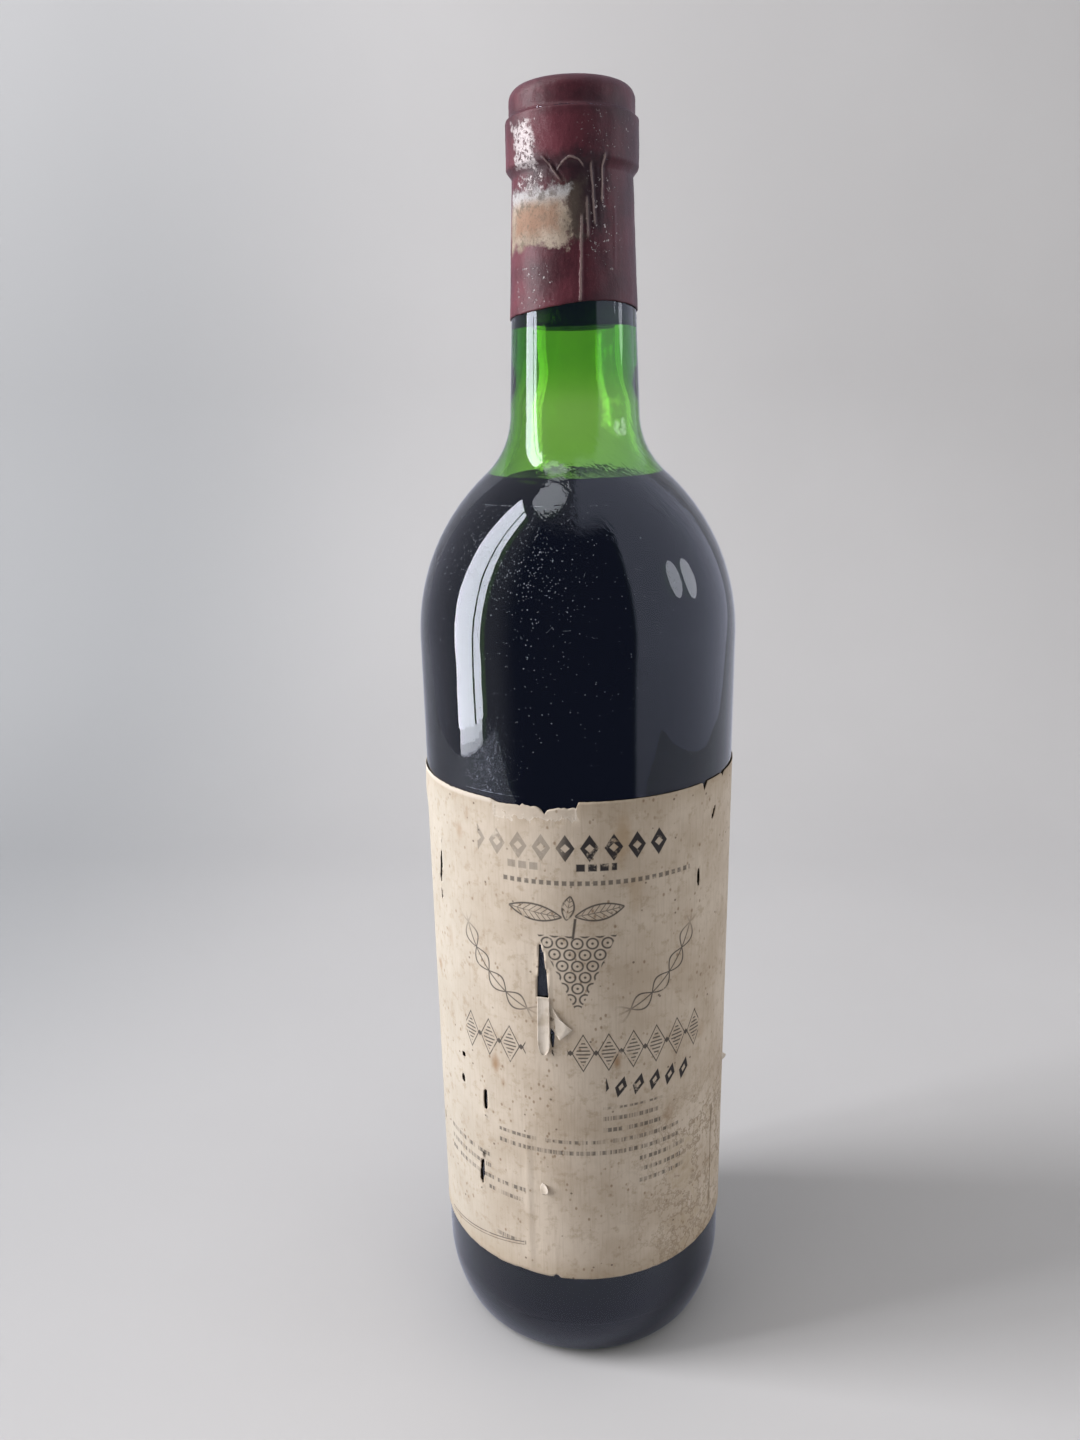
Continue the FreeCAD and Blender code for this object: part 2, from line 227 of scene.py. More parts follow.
class Finish:
    """The nodes of one material, or of the room round the bottle."""

    def __init__(self, name, room=False):
        self.holder = bpy.data.worlds.new(name) if room else bpy.data.materials.new(name)
        self.holder.use_nodes = True
        self.tree = self.holder.node_tree
        self.place = self.node("ShaderNodeTexCoord", output="Generated" if room else "Object")

    def main(self, kind):
        """The node of a kind that the tree starts with."""
        return next(node for node in self.tree.nodes if node.type == kind)

    def put(self, socket, value):
        if isinstance(value, Value):
            self.tree.links.new(value.socket, socket)
        else:
            socket.default_value = value

    def node(self, kind, settings=None, inputs=(), output=0):
        made = self.tree.nodes.new(kind)
        for name, setting in (settings or {}).items():
            setattr(made, name, setting)
        pairs = inputs.items() if isinstance(inputs, dict) else enumerate(inputs)
        for key, value in pairs:
            self.put(made.inputs[key], value)
        return Value(self, made.outputs[output])

    def axes(self):
        """The three object coordinates in millimetres."""
        grown = self.node("ShaderNodeVectorMath", {"operation": "SCALE"}, {0: self.place, "Scale": 1 / MM})
        return [self.node("ShaderNodeSeparateXYZ", {}, [grown], axis) for axis in range(3)]

    def stretched(self, scale):
        return self.node("ShaderNodeMapping", {}, {"Vector": self.place, "Scale": scale})

    def noise(self, scale, detail=2.0, roughness=0.5, vector=None):
        """Soft noise; scale counts its features per metre."""
        inputs = {"Scale": scale, "Detail": detail, "Roughness": roughness, "Vector": vector or self.place}
        return self.node("ShaderNodeTexNoise", {}, inputs)

    def specks(self, scale, vector=None):
        """Distance to the nearest of many scattered points, in cells."""
        return self.node("ShaderNodeTexVoronoi", {}, {"Scale": scale, "Vector": vector or self.place})

    def mixed(self, share, first, second):
        """A colour that goes from first to second as share goes from 0 to 1."""
        return self.node("ShaderNodeMix", {"data_type": "RGBA"}, {0: share, 6: first, 7: second}, 2)

    def bump(self, height, depth):
        """A relief, depth in metres for a height of 1."""
        return self.node("ShaderNodeBump", {}, {"Height": height, "Distance": depth})

    def surface(self, **sockets):
        for name, value in sockets.items():
            self.put(self.main("BSDF_PRINCIPLED").inputs[name.replace("_", " ")], value)

    def cover(self, piece):
        piece.data.materials.clear()
        piece.data.materials.append(self.holder)


glass = turned("green_glass", glass_skin() + (glass_lining() + bore())[::-1], GLASS_SIDES)

green = Finish("green_bottle_glass")
across, deep, high = green.axes()
ripple = green.noise(70, 1.0) + green.noise(260, 2.0) * 0.12
seam = abs(deep).rise(0.22, 0.05) * high.rise(14, 20)
stipple = green.specks(900).rise(0.45, 0.15) * high.rise(1.2, 0.2)
STREAK_AXES = ((0.8, 0.3, 0.5), (-0.3, 0.8, 0.1), (-0.03, 0, 0.06))
STREAKS_PER_METRE = 900
streaked = [green.place.along(direction) * STREAKS_PER_METRE for direction in STREAK_AXES]
drawn = green.noise(1, 2.0, 0.55, green.node("ShaderNodeCombineXYZ", {}, streaked))
drawn = drawn * high.rise(200, 212) * high.rise(240, 224) * across.rise(-10, -5)
skin_relief = ripple * 0.6 + seam * 0.5 + stipple * 0.8 + drawn * 0.6
green.surface(
    Base_Color=(1, 1, 1, 1),
    Transmission_Weight=1.0,
    IOR=1.52,
    Specular_Tint=(0.84, 0.87, 1.0, 1),
    Roughness=0.0,
    Normal=green.bump(skin_relief, 0.12 * MM),
)
GLASS_TINT = (0.495, 0.802, 0.01, 1)
GLASS_DENSITY = 475.0
tint = green.node("ShaderNodeVolumeAbsorption", {}, {"Color": GLASS_TINT, "Density": GLASS_DENSITY})
green.put(green.main("OUTPUT_MATERIAL").inputs["Volume"], tint)
green.cover(glass)
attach(glass, "root")
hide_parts("glass_bottle")

# -----------------------------------------------------------------------------
# The wine: old red wine, nearly black in the bottle.  It wets the glass, so its top creeps up the wall in a
# small meniscus, and it reaches just into the wall so that no air shows between them.
# -----------------------------------------------------------------------------
WINE_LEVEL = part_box("wine")[1].z
WINE_SINK = 0.2 * MM
WINE_SIDES = 128
MENISCUS = 1.3 * MM
MENISCUS_WIDTH = 4 * MM


def wine_section():
    """Half-section of the wine, up the wall and back over its surface to the axis."""
    wall = [point for point in glass_lining(WINE_SINK) if point[1] < WINE_LEVEL - 0.3 * MM]
    rim_radius = wall[-1][0] - 0.3 * MM
    creep = []
    for i in range(9):
        share = i / 8
        level = WINE_LEVEL - MENISCUS * (1 - (1 - share) ** 3)
        creep.append((rim_radius - MENISCUS_WIDTH * share, level))
    return wall + creep + run(creep[-1], (0, WINE_LEVEL - MENISCUS), 8)


wine = turned("red_wine", wine_section(), WINE_SIDES)
dark_red = Finish("old_red_wine")
lees = dark_red.noise(55, 3.0).rise(0.35, 0.8)
dark_red.surface(
    Base_Color=dark_red.mixed(lees, (0.0012, 0.0005, 0.0009, 1), (0.002, 0.0007, 0.0013, 1)),
    Roughness=0.0,
    IOR=1.13,
)
dark_red.cover(wine)
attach(wine, "root")
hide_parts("wine")

# -----------------------------------------------------------------------------
# The cork: one straight cork punched from bark, with small bevelled ends.  It is wet against the bore with
# no air between, and its lower end, which the wine has stained almost black, is pitted by the bark's pores.
# -----------------------------------------------------------------------------
CORK_BEVEL = 0.5 * MM
CORK_RADIUS = BORE_RADIUS + 0.16 * MM
CORK_SIDES = 96
PIT_DEPTH = 0.9 * MM


def cork_section():
    low, top = CORK_LOW.z, CORK_HIGH.z
    section = run((0, low), (CORK_RADIUS - CORK_BEVEL, low), 8)
    section += run(section[-1], (CORK_RADIUS, low + CORK_BEVEL), 2)
    section += run(section[-1], (CORK_RADIUS, top - CORK_BEVEL), 40)
    section += run(section[-1], (CORK_RADIUS - CORK_BEVEL, top), 2)
    return [(0, low)] + section + run(section[-1], (0, top), 8)


cork = turned("cork_stopper", cork_section(), CORK_SIDES)
for vertex in cork.data.vertices:
    pit = max(0.0, noise.noise(vertex.co * 420) - 0.15) * (vertex.co.z < CORK_LOW.z + CORK_BEVEL)
    if vertex.co.xy.length < CORK_RADIUS:
        vertex.co.z += pit * PIT_DEPTH
bark = Finish("stained_cork")
pores = bark.noise(900, 4.0, 0.6, bark.stretched((1, 1, 0.35)))
soaked = bark.axes()[2] - CORK_LOW.z / MM + bark.noise(180, 3.0) * 9
stain = soaked.rise(26, 8)
clean_bark = bark.mixed(pores.rise(0.4, 0.7), (0.42, 0.27, 0.15, 1), (0.2, 0.11, 0.055, 1))
bark.surface(
    Base_Color=bark.mixed(stain, clean_bark, (0.022, 0.012, 0.014, 1)),
    Roughness=0.7 - stain * 0.25,
    Normal=bark.bump(pores, 0.2 * MM),
)
bark.cover(cork)
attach(cork, "root")
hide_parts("cork")

# -----------------------------------------------------------------------------
# The capsule: soft burgundy-lacquered foil spun down over the mouth.  Its lower edge was cut at a slant, it
# is pleated down one side, and the lacquer is rubbed through to pale metal on the band and the neck.
# -----------------------------------------------------------------------------
FOIL = 0.3 * MM
CAPSULE_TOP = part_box("capsule")[1].z
CAPSULE_CUT = MOUTH_HEIGHT - 44.7 * MM
CAPSULE_SIDES = 320
FOIL_WRAP = 0.24  # millimetres, what one degree round the neck is worth on the foil


def capsule_section():
    """Half-section of the foil's outer face, from the cut edge up over the lip."""
    neck_end = BAND_BOTTOM - BAND_BEVEL
    slope = (NECK_FOOT_RADIUS - NECK_TOP_RADIUS) / (neck_end - NECK_FOOT)
    neck = [(NECK_TOP_RADIUS + FOIL + slope * (neck_end - CAPSULE_CUT), CAPSULE_CUT)]
    neck += run(neck[0], (NECK_TOP_RADIUS + FOIL, neck_end - 0.4 * MM), 64)
    band = bend((BAND_RADIUS + FOIL - 1.1 * MM, BAND_BOTTOM + 0.7 * MM), 1.1 * MM, -50, 0, 4)
    band += run(band[-1], (BAND_RADIUS + FOIL, BAND_TOP - 0.5 * MM), 28)
    band += bend((BAND_RADIUS + FOIL - 0.5 * MM, BAND_TOP - 0.4 * MM), 0.5 * MM, 20, 80, 4)
    lip = run(band[-1], (LIP_RADIUS + FOIL, BAND_TOP + 0.7 * MM), 3)
    lip += run(lip[-1], (LIP_RADIUS + FOIL, MOUTH_HEIGHT - LIP_ROUND), 6)
    lip += bend((LIP_RADIUS - LIP_ROUND, MOUTH_HEIGHT - LIP_ROUND), LIP_ROUND + FOIL, 8, 90, 9)
    return neck + band + lip + run(lip[-1], (0, CAPSULE_TOP), 14)


def front_angle(point):
    """Degrees round the bottle from its front, towards +X."""
    return math.degrees(math.atan2(point.x, -point.y))


def clamp(value):
    return min(1.0, max(0.0, value))


def hump(value, middle, width):
    """A smooth bump of height 1 about a middle."""
    return math.exp(-(((value - middle) / width) ** 2))


def stretch_of(value, low, high, ease):
    """1 between low and high, eased to 0 over the given length at each end."""
    return clamp(min(value - low, high - value) / ease + 0.5)


# Pleats pressed into the foil: degrees from the front, lowest and highest millimetre, lean in degrees
# per millimetre, how far each stands out, and how pale its ridge line is (worn paint and painted
# highlight).
PLEATS = (
    (6.7, 255, 271.5, 0.12, 0.2, 0.8),
    (12.9, 267.5, 275, -0.05, 0.16, 0.6),
    (18.2, 270, 281.5, -0.25, 0.2, 0.8),
    (27.4, 274.5, 283, 0.12, 0.22, 1.0),
    (-17.5, 278.3, 282.6, -3.1, 0.3, 0.5),
    (40.0, 262, 274, 0.1, 0.1, 0.0),
    (150.0, 256, 279, 0.1, 0.2, 0.0),
    (-120.0, 255, 272, -0.15, 0.18, 0.0),
)
# An arched crease under the band: its highest millimetre, and how fast it drops to either side.
ARCH_HEIGHT = 282.4
ARCH_DROP = 0.11


def foil_relief(angle, height):
    """How far the foil stands out, in millimetres, from its turned shape."""
    out = 0.0
    for where, low, top, lean, stand, _ in PLEATS:
        line = where + lean * (height - (low + top) / 2)
        out += stand * hump(angle, line, 1.1) * stretch_of(height, low, top, 1.5)
        out -= 0.6 * stand * hump(angle, line + 2.8, 1.8) * stretch_of(height, low, top, 2)
    arch = height - ARCH_HEIGHT + ((angle + 1) * ARCH_DROP) ** 2
    out += 0.22 * hump(arch, 0, 0.28) * stretch_of(angle, -14, 10, 3)
    dents = noise.noise(Vector((angle * 0.09, height * 0.18, 3.0)))
    return out + 0.1 * dents + 0.03 * noise.noise(Vector((angle * 0.4, height * 0.9, 9.0)))


def cut_height(angle):
    """Height of the cut edge, in millimetres: a slant with a shallow wave and a few nicks."""
    side = math.sin(math.radians(angle))
    front = math.cos(math.radians(angle))
    wave = 0.25 * math.sin(math.radians(3 * angle + 20)) + 0.12 * noise.noise(Vector((angle * 0.12, 0, 5)))
    return 253.3 + 0.95 * side + 1.25 * front + wave


capsule = turned("foil_capsule", capsule_section(), CAPSULE_SIDES)
EASE_TOP = 262.0
for vertex in capsule.data.vertices:
    angle = front_angle(vertex.co)
    height = vertex.co.z / MM
    radius = math.hypot(vertex.co.x, vertex.co.y)
    if radius < BORE_RADIUS:
        sag = 0.25 * MM * (1 - (radius / BORE_RADIUS) ** 2)
        vertex.co.z -= sag + 0.06 * MM * (1 + noise.noise(vertex.co * 260))
        continue
    if height < EASE_TOP:
        share = (EASE_TOP - height) / (EASE_TOP - CAPSULE_CUT / MM)
        height += share * (cut_height(angle) - CAPSULE_CUT / MM)
    out = foil_relief(angle, height) * MM * clamp((MOUTH_HEIGHT - vertex.co.z) / (2 * MM))
    scale = (radius + max(-0.12 * MM, out)) / radius
    vertex.co = (vertex.co.x * scale, vertex.co.y * scale, height * MM)


def thicken(piece, thickness):
    """A wall inwards from the face that shows."""
    bpy.ops.object.select_all(action="DESELECT")
    bpy.context.view_layer.objects.active = piece
    piece.select_set(True)
    wall = piece.modifiers.new("wall", "SOLIDIFY")
    wall.thickness = thickness
    wall.offset = -1
    bpy.ops.object.modifier_apply(modifier=wall.name)


thicken(capsule, 0.22 * MM)


def lesser(first, *others):
    """The smallest of several values; of distances, their shapes joined."""
    for value in others:
        first = first.math("MINIMUM", value)
    return first


def greater(first, *others):
    """The largest of several values; of distances, their shapes' overlap."""
    for value in others:
        first = first.math("MAXIMUM", value)
    return first


foil = Finish("worn_burgundy_foil")
across, deep, high = foil.axes()
turn = across.math("ARCTAN2", 0 - deep) * (180 / math.pi)
ragged = foil.noise(420, 5.0, 0.65) - 0.5
mottle = foil.noise(95, 4.0, 0.6)
grain = foil.noise(2600, 3.0, 0.7)
lacquer_and_shade = foil.mixed(mottle.rise(0.3, 0.7), (0.042, 0.0072, 0.011, 1), (0.118, 0.024, 0.034, 1))
# The foil's right side, away from the window, is painted darker: painted shade.
lacquer_and_shade = foil.mixed(turn.rise(-28, 24) * 0.3, lacquer_and_shade, (0.03, 0.006, 0.009, 1))
lacquer_and_shade = foil.mixed(grain.rise(0.52, 0.85) * 0.25, lacquer_and_shade, (0.24, 0.1, 0.11, 1))


def patch(left, right, low, top, rough, blur):
    """Share of a ragged-edged patch between two angles and two heights."""
    side = lesser((turn - left) * FOIL_WRAP, (right - turn) * FOIL_WRAP)
    inside = lesser(side, lesser(high - low, top - high))
    return (inside + ragged * rough).rise(-blur, blur)


rubbed = patch(-75, -3, 266.3, 277.4, 7.0, 0.9)
tan_core = patch(-63, -13, 268.8, 274.2, 5.0, 1.6)
olive = patch(-12, 10, 267.4, 277.8, 7.0, 1.8)
band_wear = patch(-58, -34, 281.8, 289.6, 7.0, 0.7) * foil.noise(1100, 4.0, 0.75).rise(0.38, 0.5)
low_wear = patch(-60, -26, 276.8, 280.4, 6.0, 0.6) * foil.noise(1300, 3.0, 0.7).rise(0.48, 0.62)
chips = patch(14, 46, 261, 279, 6.0, 1.0) + patch(-60, -22, 254, 262, 6.0, 1.0)
chips = chips + patch(8, 60, 284, 290, 5.0, 1.5)
flecks = foil.noise(1150, 3.0, 0.6).rise(0.62, 0.67) * lesser(chips, 1.0)
# Darker marks on the foil: a dark wash on the front below the band and round the band's top, and painted
# shade in a line under the band's lower edge.
dark_wash_and_band_shade = greater(
    patch(-8, 30, 268, 283.5, 9.0, 2.2),
    patch(-40, 34, 279.5, 283.5, 5.0, 1.5) * 0.8,
    patch(-90, -20, 280.4, 282.6, 3.0, 0.8) * 0.8,
    patch(-30, 60, 290.6, 294.5, 6.0, 1.5) * 0.35,
)


def worn_and_highlit_ridge(where, low, top, lean):
    """Thin pale line along a pleat: worn paint and a painted highlight."""
    off = (turn - where - (high - (low + top) / 2) * lean + ragged * 3.0) * FOIL_WRAP
    return abs(off).rise(0.34, 0.1) * high.rise(low - 0.6, low + 0.6) * high.rise(top + 0.6, top - 0.6)


# Pale lines along the arched crease and the pleats' ridges: partly worn paint, partly painted highlight.
aside = (turn + 1) * ARCH_DROP
arch = abs(high - ARCH_HEIGHT + aside * aside + ragged * 1.2).rise(0.3, 0.08)
ridge_wear_and_highlight = arch * turn.rise(-15, -12) * turn.rise(11, 8) * 0.8
for where, low, top, lean, _, share in PLEATS:
    if share:
        ridge_wear_and_highlight = greater(ridge_wear_and_highlight, worn_and_highlit_ridge(where, low, top, lean) * share)
colour = foil.mixed(dark_wash_and_band_shade * 0.75, lacquer_and_shade, (0.018, 0.01, 0.011, 1))
colour = foil.mixed(olive * 0.75, colour, (0.085, 0.066, 0.048, 1))
pale = foil.mixed(mottle.rise(0.35, 0.65), (0.4, 0.33, 0.26, 1), (0.24, 0.19, 0.14, 1))
chalk = foil.mixed(high.rise(273.5, 276.5), pale, (0.4, 0.39, 0.39, 1))
colour = foil.mixed(rubbed * 0.9, colour, chalk)
colour = foil.mixed(tan_core * 0.8, colour, (0.245, 0.135, 0.085, 1))
blotches = foil.noise(520, 4.0, 0.7).rise(0.5, 0.64)
colour = foil.mixed(rubbed * blotches * turn.rise(-10, -50) * 0.8, colour, (0.13, 0.105, 0.075, 1))
colour = foil.mixed(rubbed * blotches * high.rise(273, 276) * 0.7, colour, (0.12, 0.1, 0.09, 1))
colour = foil.mixed(rubbed * grain.rise(0.5, 0.72) * 0.6, colour, (0.11, 0.085, 0.065, 1))
bare = greater(band_wear, low_wear, flecks)
colour = foil.mixed(bare * 0.85, colour, (0.45, 0.4, 0.395, 1))
colour = foil.mixed(ridge_wear_and_highlight * 0.55, colour, (0.45, 0.34, 0.31, 1))
foil.surface(
    Base_Color=colour,
    Metallic=bare * 0.15,
    Roughness=0.35 + rubbed * 0.35 + grain * 0.2,
    Specular_IOR_Level=0.28,
    Normal=foil.bump(grain * 0.5 + ragged * 0.6 + ridge_wear_and_highlight * 0.9 - rubbed * 0.8 - bare * 0.8, 0.12 * MM),
)
foil.cover(capsule)
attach(capsule, "root")
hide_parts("capsule")

# -----------------------------------------------------------------------------
# The label: one sheet of uncoated cream paper glued round the front half.  It is yellowed and foxed, torn
# along part of its top, slit in places and split through in the middle, where a narrow flap hangs down.
# -----------------------------------------------------------------------------
LABEL_LOW, LABEL_HIGH = [corner.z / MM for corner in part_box("label")]
LABEL_MIDDLE = -2.0  # degrees from the front
LABEL_WIDTH = 118.0
PAPER_CELL = 0.62
PAPER_LIFT = 0.24
PAPER_WALL = 0.16
PAPER_REACH = -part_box("label")[0].y - 0.02 * MM  # how far out any of the paper may stand
WRAP = 37.2  # millimetres, what one radian round the body is worth on the paper


def rough(u, v, scale, seed):
    """Repeatable noise between -1 and 1 on the flat paper."""
    return noise.noise(Vector((u * scale, v * scale, seed)))


def top_edge(u):
    """Height of the paper's top edge: torn and lower left of the middle, clean to the right."""
    height = LABEL_HIGH - 0.8 - 0.25 * abs(rough(u, 0, 0.35, 1)) + 0.2 * rough(u, 0, 1.4, 2)
    torn = LABEL_HIGH - 1.5 + 0.75 * rough(u, 0, 0.45, 3) + 0.4 * rough(u, 0, 1.8, 4)
    torn -= 1.4 * hump(u, -7.4, 0.9)
    clean = LABEL_HIGH - 0.12 + 0.05 * rough(u, 0, 0.8, 6)
    clean -= 2.4 * hump(u, 31.8, 0.5) + 1.2 * hump(u, 40.4, 0.5)
    if u > -0.6:
        return clean
    share = clamp((u + 20.5) / 2)
    return height + (torn - height) * share


def bottom_edge(u):
    """Height of the paper's bottom edge, nearly straight, with one nick."""
    return LABEL_LOW + 0.1 + 0.12 * rough(u, 0, 0.7, 8) + 1.1 * hump(u, -6.6, 0.6) + 0.35 * hump(u, -15, 3)


# Slits and worn holes in the paper: middle round the label, middle height, half width, half height, lean.
SLITS = (
    (-39.4, 129.0, 0.55, 4.3, 0.1),
    (30.0, 129.3, 0.5, 2.3, -0.05),
    (-24.9, 73.0, 0.6, 3.0, 0.05),
    (-27.0, 51.4, 0.7, 3.7, 0.1),
    (-32.6, 82.0, 0.6, 0.8, 0.0),
    (-33.1, 75.0, 0.7, 1.1, 0.0),
    (35.6, 143.4, 0.5, 1.5, 0.5),
    (-6.6, 95.0, 0.55, 2.7, 0.0),
    (-47.2, 56.0, 0.4, 1.6, 0.1),
)
SPLIT_TOP = 117.9
SPLIT_FOOT = 104.3


def opening(u, v):
    """Distance in millimetres to the nearest hole in the paper, negative inside it."""
    nearest = 9.0
    for middle, height, half_width, half_height, lean in SLITS:
        across = (u - middle - lean * (v - height)) / half_width
        along = (v - height) / half_height
        inside = (math.hypot(across, along) - 1) * half_width
        nearest = min(nearest, inside + 0.12 * rough(u, v, 1.3, 11))
    share = clamp((SPLIT_TOP - v) / (SPLIT_TOP - SPLIT_FOOT))
    left = -9.25 - 0.75 * share
    right = -9.2 + 2.0 * math.sqrt(share) + 0.1 * rough(u, v, 0.8, 12)
    split = max(left - u, u - right, v - SPLIT_TOP, SPLIT_FOOT - v)
    return min(nearest, split)


def paper_relief(u, v):
    """How far the paper stands off the glass, in millimetres."""
    lift = PAPER_LIFT + 0.03 * rough(u, v, 0.12, 21) + 0.015 * rough(u, v, 0.9, 22)
    low_part = stretch_of(v, 29, 66, 8)
    lift += 0.14 * low_part * (hump(u, -13.4, 0.7) - 0.5 * hump(u, -11.6, 1.5))
    lift += 0.14 * low_part * (hump(u, 9.8, 0.7) - 0.5 * hump(u, 11.6, 1.4))
    lift += 0.3 * hump(u, -51, 3.5) * hump(v, 145.5, 4)
    lift += 0.12 * hump(u, 39.5 + 0.3 * rough(0, v, 0.4, 23), 0.6) * stretch_of(v, 33, 64, 3)
    peeled = stretch_of(u, -19.5, -0.6, 0.7) * clamp((v - 146.6 - 1.2 * rough(u, 0, 0.5, 24)) / 0.8)
    lift -= 0.11 * peeled
    lift += 0.22 * math.exp(-max(0.0, opening(u, v)) / 0.5)
    edge = min(top_edge(u) - v, v - bottom_edge(u))
    return lift + 0.16 * math.exp(-max(0.0, edge) / 0.9) * (0.5 + 0.5 * rough(u, v, 0.25, 25))


def wrap(piece):
    """Rolls flat paper round the body: x goes round, y goes up and z stands off the glass."""
    for vertex in piece.data.vertices:
        u, v, lift = vertex.co
        turn = u / WRAP
        furthest = PAPER_REACH / max(abs(math.sin(turn)), abs(math.cos(turn)))
        radius = min(furthest, body_radius(v * MM) + lift * MM)
        vertex.co = (radius * math.sin(turn), -radius * math.cos(turn), v * MM)


def flat_sheet(name, left, right, low, top, cell):
    """A flat grid of paper in millimetres, x across and y up."""
    bpy.ops.object.select_all(action="DESELECT")
    columns = max(2, round((right - left) / cell))
    rows = max(2, round((top - low) / cell))
    bpy.ops.mesh.primitive_grid_add(x_subdivisions=columns, y_subdivisions=rows, size=1)
    piece = bpy.context.object
    piece.name = name
    bpy.ops.object.mode_set(mode="EDIT")
    bpy.ops.transform.resize(value=(right - left, top - low, 1), center_override=(0, 0, 0))
    bpy.ops.transform.translate(value=((left + right) / 2, (low + top) / 2, 0))
    bpy.ops.object.mode_set(mode="OBJECT")
    return piece


def cut_away(piece, inside):
    """Deletes the faces whose middle is inside a hole, and what is left loose."""
    bpy.ops.object.mode_set(mode="EDIT")
    bpy.ops.mesh.select_mode(type="FACE")
    bpy.ops.mesh.select_all(action="DESELECT")
    bpy.ops.object.mode_set(mode="OBJECT")
    for face in piece.data.polygons:
        face.select = inside(face.center.x, face.center.y)
    bpy.ops.object.mode_set(mode="EDIT")
    bpy.ops.mesh.delete(type="FACE")
    bpy.ops.mesh.select_mode(type="VERT")
    bpy.ops.object.mode_set(mode="OBJECT")


label_shift = math.radians(LABEL_MIDDLE) * WRAP
half = LABEL_WIDTH / 2
label = flat_sheet("paper_label", label_shift - half, label_shift + half, LABEL_LOW, LABEL_HIGH, PAPER_CELL)
for vertex in label.data.vertices:
    u, v, _ = vertex.co
    share = (v - LABEL_LOW) / (LABEL_HIGH - LABEL_LOW)
    ends = (bottom_edge(u), top_edge(u))
    pull = (1 - share) ** 12 * (ends[0] - LABEL_LOW) + share**12 * (ends[1] - LABEL_HIGH)
    side = abs(u - label_shift) / half
    vertex.co = (u - 0.25 * side**20 * (1 + rough(0, v, 0.5, 31)) * math.copysign(1, u), v + pull, 0)
cut_away(label, lambda u, v: opening(u, v) < 0)
SNAP = 0.9 * PAPER_CELL
for vertex in label.data.vertices:
    u, v, _ = vertex.co
    away = opening(u, v)
    if abs(away) < SNAP:
        step = 0.02
        slope = Vector((opening(u + step, v) - away, opening(u, v + step) - away, 0)) / step
        if slope.length > 0.2:
            vertex.co -= slope * (away / slope.length_squared) * (1 if away < 0 else 0.5)
for vertex in label.data.vertices:
    vertex.co.z = paper_relief(vertex.co.x, vertex.co.y)
wrap(label)
bpy.ops.object.shade_smooth()
thicken(label, PAPER_WALL * MM)

paper = Finish("aged_cream_paper")
across, deep, high = paper.axes()
round_u = across.math("ARCTAN2", 0 - deep) * WRAP


def span(value, low, top):
    """Distance to a stretch between two values, negative inside it."""
    return abs(value - (low + top) / 2) - (top - low) / 2


def spaced(value, start, pitch):
    """Distance from the middle of the nearest repeat."""
    return (value - start + pitch / 2) % pitch - pitch / 2


def stroke(distance, width=0.16):
    """Distance to a thin line drawn along an outline."""
    return abs(distance) - width


def length_of(first, second):
    return (first * first + second * second) ** 0.5


# The print is all plain ornament.  Each row or figure below is a distance in millimetres, negative inside.
lozenge_u = abs(spaced(round_u, 2.2, 5.3))
lozenge_v = abs(high - 141.2)
lozenge = lozenge_u * 1.3 + lozenge_v * 0.85 - 2.7
title_row = greater(lozenge, 1.0 - lozenge_u - lozenge_v, span(round_u, -24.4, 20.8))
bars = greater(abs(spaced(round_u, 0.2, 2.6)) - 0.95, span(high, 135.8, 137.5))
bar_row = greater(bars, lesser(span(round_u, -16.5, -8.5), span(round_u, -1.2, 8.2)))
dash_row = greater(abs(spaced(round_u, 0, 1.7)) - 0.5, span(high, 132.4, 133.5), span(round_u, -18, 27))


def leaf(middle, height, tilt, long_half, wide_half):
    """Outline of a pointed leaf with its midrib and veins."""
    cosine, sine = math.cos(math.radians(tilt)), math.sin(math.radians(tilt))
    along = (round_u - middle) * cosine + (high - height) * sine
    side = (high - height) * cosine - (round_u - middle) * sine
    edge = abs(side) - wide_half * (1 - (along / long_half) ** 2)
    rib = greater(abs(side) - 0.08, abs(along) - long_half)
    veins = greater(abs(spaced(along - abs(side), 0, 1.4)) - 0.1, edge)
    return lesser(greater(stroke(edge, 0.2), abs(along) - long_half), rib, veins)


leaves = lesser(leaf(-10.2, 125.6, -8, 6.2, 1.9), leaf(4.4, 126.0, 10, 5.6, 1.9))
leaves = lesser(leaves, leaf(-2.6, 127.0, 80, 3.0, 1.3))
berry = lesser(
    length_of(spaced(round_u, -2.4, 3.4), spaced(high, 110.0, 5.6)),
    length_of(spaced(round_u, -0.7, 3.4), spaced(high, 112.8, 5.6)),
)
bunch = greater(abs(round_u + 0.7) - (high - 100.5) * 0.45, high - 120.2, 102.0 - high)
berries = greater(lesser(stroke(berry - 1.25, 0.2), berry - 0.3), bunch)
stem = greater(abs(round_u + 1.6 - (high - 120) * 0.12) - 0.28, span(high, 119.5, 124.5))
wreath_u = round_u + 0.5
wreath_v = high - 128
reach = length_of(wreath_u, wreath_v)
swing = abs(wreath_u).math("ARCTAN2", 0 - wreath_v)
wave = (swing * 15).math("SINE")
off_ring = abs(reach - 29.5)
laurel = stroke(off_ring - abs(wave) * 2.0, 0.2)
garland = greater(lesser(laurel, off_ring - 0.14), span(swing, 0.42, 1.22))

